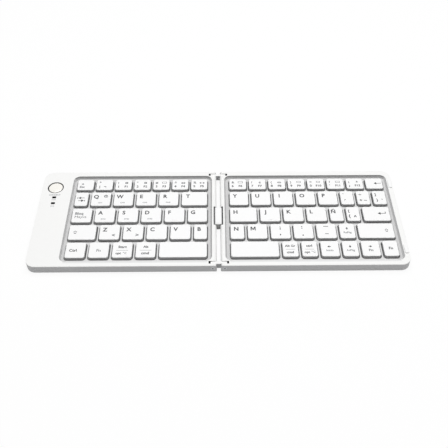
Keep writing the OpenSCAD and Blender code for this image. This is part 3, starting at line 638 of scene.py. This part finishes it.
def arrow(length, head, shaft):
    """An arrow that points to the left: its head and its shaft."""
    half = length / 2
    barb = head * HEAD_SLOPE
    return [
        [(-half, 0), (-half + head, -barb), (-half + head, barb)],
        oblong(-half + head, -shaft / 2, half, shaft / 2),
    ]


def flipped(shapes):
    """The shapes from left to right."""
    return [[(-x, y) for x, y in reversed(shape)] for shape in shapes]


def upright(shapes):
    """The shapes turned from left to back."""
    return [[(y, -x) for x, y in reversed(shape)] for shape in shapes]


def overturned(shapes):
    """The shapes from back to front."""
    return [[(x, -y) for x, y in reversed(shape)] for shape in shapes]


def pointer(size):
    """The short arrow of an arrow key, pointing to the left."""
    return arrow(size, size * 0.6, 0.5)


def tab_arrow(size):
    """An arrow that stops at a bar."""
    return arrow(size - 1, 1.9, 0.45) + bar(-size / 2 + 0.1, 1.6, 0.4)


def enter_arrow(size, line=0.45):
    """An arrow whose shaft turns up at its end."""
    return arrow(size, 2.0, line) + [oblong(size / 2 - line, 0, size / 2, 1.6)]


def wedge(size):
    """A triangle that points back."""
    return [[(-size / 2, -size / 3), (size / 2, -size / 3), (0, size / 2)]]


def house(size):
    """A hollow arrow that points back, as on a shift key."""
    half, quarter = size / 2, size / 4
    left = [(-half, 0), (-quarter, 0), (-quarter, -half)]
    outer = [(0, half)] + left + [(-x, y) for x, y in reversed(left)]
    inner = [(x * 0.62, y * 0.66) for x, y in outer]
    count = len(outer)
    return [[outer[i], outer[(i + 1) % count], inner[(i + 1) % count], inner[i]] for i in range(count)]


def screen(size, line=0.3):
    """A hollow box."""
    half_width, half_height = size / 2, 0.3 * size
    sides = flipped(bar(half_width, 2 * half_height, line)) + bar(half_width, 2 * half_height, line)
    edges = [oblong(-half_width, y, half_width, y + line) for y in (-half_height, half_height - line)]
    return sides + edges


def option(size, top=0.8, line=0.3):
    """A slanted step beside a short line, as on an option key."""
    half = size / 2
    under = top - line
    step = [
        (-half, under), (-size / 6, under), (size / 6, -top), (half, -top),
        (half, -under), (size / 5, -under), (-size / 7, top), (-half, top),
    ]
    return [step, oblong(size / 8, under, half, top)]


def letter_m(size):
    """An M of four even strokes."""
    stem = bar(-size * 0.4, size, size * 0.19)
    crest, valley = size / 2, -size * 0.32
    slope = [(-size * 0.47, crest), (-size * 0.24, crest), (size * 0.1, valley), (-size * 0.1, valley)]
    left_half = stem + [slope]
    return left_half + flipped(left_half)


SIGNS = {
    "M": letter_m,
    "arrow_left": lambda size: arrow(size, 1.9, 0.4),
    "bar_up": wedge,
    "dash": lambda size: line_across(size, 0.5),
    "enter": enter_arrow,
    "option": option,
    "rule": lambda size: line_across(size, 0.24),
    "screen": screen,
    "shift": house,
    "tab_back": tab_arrow,
    "tab_on": lambda size: flipped(tab_arrow(size)),
    "tip_down": lambda size: overturned(upright(pointer(size))),
    "tip_left": pointer,
    "tip_right": lambda size: flipped(pointer(size)),
    "tip_up": lambda size: upright(pointer(size)),
}

# A sign is drawn as polygons at once. A word is set in type first, then cut to a mesh with the others of
# its key and ink; an M isn't made bolder, because its strokes would close up.
words = []
prints = {}
for name, keys in LEGENDS.items():
    for box, legend in zip(boxes[name], keys):
        for text, across, back, size, ink in legend:
            centred = isinstance(across, tuple)
            x = box[0] + LEAN + (across[0] if centred else across) / 1000
            y = box[3] - LEAN - back / 1000
            if text in SIGNS:
                mesh = prints.setdefault((name, ink.name), bmesh.new())
                for polygon in SIGNS[text](size):
                    spots = [(x + px / 1000, y + py / 1000, FLAT_TOP + PRINT_LIFT) for px, py in polygon]
                    mesh.faces.new([mesh.verts.new(spot) for spot in spots])
                continue
            curve = bpy.data.curves.new("word", "FONT")
            curve.body = text
            curve.size = size / CAP_SHARE / 1000
            curve.offset = size * (0.0 if "M" in text else BOLDNESS) / 1000
            curve.resolution_u = 3
            curve.align_x = "CENTER" if centred else "LEFT"
            word = bpy.data.objects.new("word", curve)
            word.location = (x, y - size / 2000, FLAT_TOP + PRINT_LIFT)
            if size == LETTER_SIZE:
                word.scale.x = LETTER_WIDTH
                word.location.x += LETTER_SHIFT
            scene.collection.objects.link(word)
            words.append((name, ink.name, word))
bpy.context.view_layer.update()
graph = bpy.context.evaluated_depsgraph_get()
for name, ink, word in words:
    data = bpy.data.meshes.new_from_object(word.evaluated_get(graph))
    data.transform(word.matrix_world)
    prints.setdefault((name, ink), bmesh.new()).from_mesh(data)
    bpy.data.meshes.remove(data)
for name, ink, word in words:
    bpy.data.objects.remove(word)
for (name, ink), mesh in prints.items():
    piece = mesh_piece(name + "_" + ink, mesh, bpy.data.materials[ink])
    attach(piece, name)


# ---------------------------------------------------------------- power button
# A low crowned disc with a polished edge, on the flange that keeps it in the cover.
STEM_RADIUS, STEM_HEIGHT = 0.0012, 0.0001
FLANGE_TOP = 0.0005
FLANGE_WIDTH = 0.00125
CROWN = [(0.0, 0.4), (0.1, 0.28), (0.4, 0.21), (1.2, 0.1), (2.4, 0.03), (3.6, 0.0)]  # (inset, drop) in mm
ROUND_STEPS = 64
low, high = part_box("power_button")
middle = (low + high) / 2
reach = high.x - middle.x
edge = reach - FLANGE_WIDTH
profile = [
    (STEM_RADIUS, low.z), (STEM_RADIUS, low.z + STEM_HEIGHT), (reach, low.z + STEM_HEIGHT),
    (reach, low.z + FLANGE_TOP), (edge, low.z + FLANGE_TOP),
]
profile += [(edge - inset / 1000, high.z - drop / 1000) for inset, drop in CROWN]
mesh = bmesh.new()
angles = [i * 2 * pi / ROUND_STEPS for i in range(ROUND_STEPS)]
loops = []
for radius, z in profile:
    spots = [(middle.x + radius * cos(angle), middle.y + radius * sin(angle), z) for angle in angles]
    loops.append([mesh.verts.new(spot) for spot in spots])
skin(mesh, loops)
mesh.faces.new(loops[-1]).smooth = True
mesh.faces.new(list(reversed(loops[0])))
button = mesh_piece("power_button_cap", mesh, ivory_gloss)
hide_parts("power_button")
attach(button, "power_button")


# ---------------------------------------------------------------- cable boot and flat cable
# A soft boot and the film inside it, each in two lengths that meet at the middle.
STEPS_ALONG, STEPS_ACROSS = 14, 6
CROWN_REACH = 0.0026  # from the middle to where the crown has dropped by its height
KEEL_REACH = 0.00115  # half the width of the gap that the keel fills
BOOT_ROUND, BOOT_CROWN, BOOT_KEEL = 0.0003, 0.00035, 0.001
FILM_ROUND = 0.00005
FILM_SHORT = 0.0014  # keeps the film clear of the skirts of the keys beside the hinge


def strip(name, ends, low, high, rounding, material, crown=0.0, keel=0.0):
    """A bar along X between two ends, with chamfered corners, a crowned top and a keel."""
    mesh = bmesh.new()
    loops = []
    front, back = low.y + rounding, high.y - rounding
    for i in range(STEPS_ALONG + 1):
        x = ends[0] + (ends[1] - ends[0]) * i / STEPS_ALONG
        top = high.z - crown * (x / CROWN_REACH) ** 2
        foot = low.z - (keel if abs(x) < KEEL_REACH else 0)
        section = [(front, foot), (back, foot)]
        section += [(high.y, foot + rounding), (high.y, top - rounding), (back, top)]
        section += [(back - (back - front) * k / STEPS_ACROSS, top) for k in range(1, STEPS_ACROSS)]
        section += [(front, top), (low.y, top - rounding), (low.y, foot + rounding)]
        loops.append([mesh.verts.new((x, y, z)) for y, z in section])
    skin(mesh, loops)
    mesh.faces.new(list(reversed(loops[0])))
    mesh.faces.new(loops[-1])
    bmesh.ops.recalc_face_normals(mesh, faces=mesh.faces)
    piece = mesh_piece(name, mesh, material)
    piece.data.set_sharp_from_angle(angle=radians(50))
    return piece


PIVOTS = (("left", "left_half", "hinge_links"), ("right", "hinge_links", "right_half"))
boot_low, boot_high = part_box("cable_boot")
bends = {"left": (boot_low.x, 0.0), "right": (0.0, boot_high.x)}
for side, first, second in PIVOTS:
    start, end = bends[side]
    boot = strip(
        "cable_boot_" + side, (start, end), boot_low, boot_high, BOOT_ROUND, silicone, BOOT_CROWN, BOOT_KEEL
    )
    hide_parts("cable_boot")
    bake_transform(boot)
film_low, film_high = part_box("flat_cable")
film_reach = film_high.x - FILM_SHORT
film_ends = {"left": (-film_reach, 0.0), "right": (0.0, film_reach)}
for side, first, second in PIVOTS:
    start, end = bends[side]
    film = strip("flat_cable_" + side, film_ends[side], film_low, film_high, FILM_ROUND, polyimide)
    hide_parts("flat_cable")
    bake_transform(film)


# ---------------------------------------------------------------- floor and light
# A pale floor that the camera sees as white, a broad overhead light and an even sky.
def camera_white(tree):
    """One to the camera, in reflections and through glass, nought to all other rays."""
    path = add(tree, "LightPath")
    seen = add(tree, "Math", operation="MAXIMUM")
    tree.links.new(path.outputs["Is Camera Ray"], seen.inputs[0])
    tree.links.new(path.outputs["Is Glossy Ray"], seen.inputs[1])
    through = add(tree, "Math", operation="MAXIMUM")
    tree.links.new(seen.outputs[0], through.inputs[0])
    tree.links.new(path.outputs["Is Transmission Ray"], through.inputs[1])
    return through.outputs[0]


floor_mesh = bmesh.new()
bmesh.ops.create_grid(floor_mesh, x_segments=1, y_segments=1, size=3)
floor_material = bpy.data.materials.new("pale_floor")
floor_material.use_nodes = True
tree = floor_material.node_tree
tree.nodes.clear()
matte = add(tree, "BsdfDiffuse", Color=linear("eeeeee"))
bright = add(tree, "Emission", Color=linear("ffffff"), Strength=0.9)
dim = add(tree, "BsdfDiffuse", Color=[0.1, 0.1, 0.1, 1])
seen = add(tree, "AddShader")
tree.links.new(bright.outputs[0], seen.inputs[0])
tree.links.new(dim.outputs[0], seen.inputs[1])
choice = add(tree, "MixShader", Fac=camera_white(tree))
tree.links.new(matte.outputs[0], choice.inputs[1])
tree.links.new(seen.outputs[0], choice.inputs[2])
tree.links.new(choice.outputs[0], add(tree, "OutputMaterial").inputs["Surface"])
floor = mesh_piece("floor", floor_mesh, floor_material)

world = bpy.data.worlds.new("studio")
world.use_nodes = True
scene.world = world
tree = world.node_tree
tree.nodes.clear()
sky = add(tree, "Background", Color=linear("f6f6f6"), Strength=0.24)
white = add(tree, "Background", Color=linear("ffffff"), Strength=1.0)
choice = add(tree, "MixShader", Fac=camera_white(tree))
tree.links.new(sky.outputs[0], choice.inputs[1])
tree.links.new(white.outputs[0], choice.inputs[2])
tree.links.new(choice.outputs[0], add(tree, "OutputWorld").inputs["Surface"])


def lamp(name, place, target, size, power):
    """A square area light aimed at a point."""
    light = bpy.data.lights.new(name, "AREA")
    light.size = size
    light.energy = power
    holder = bpy.data.objects.new(name, light)
    holder.location = place
    holder.rotation_euler = (Vector(target) - Vector(place)).to_track_quat("-Z", "Y").to_euler()
    scene.collection.objects.link(holder)


lamp("overhead", place=(0.05, 0.14, 1.0), target=(0, 0, 0), size=1.0, power=10.4)

scene.view_settings.view_transform = "Standard"
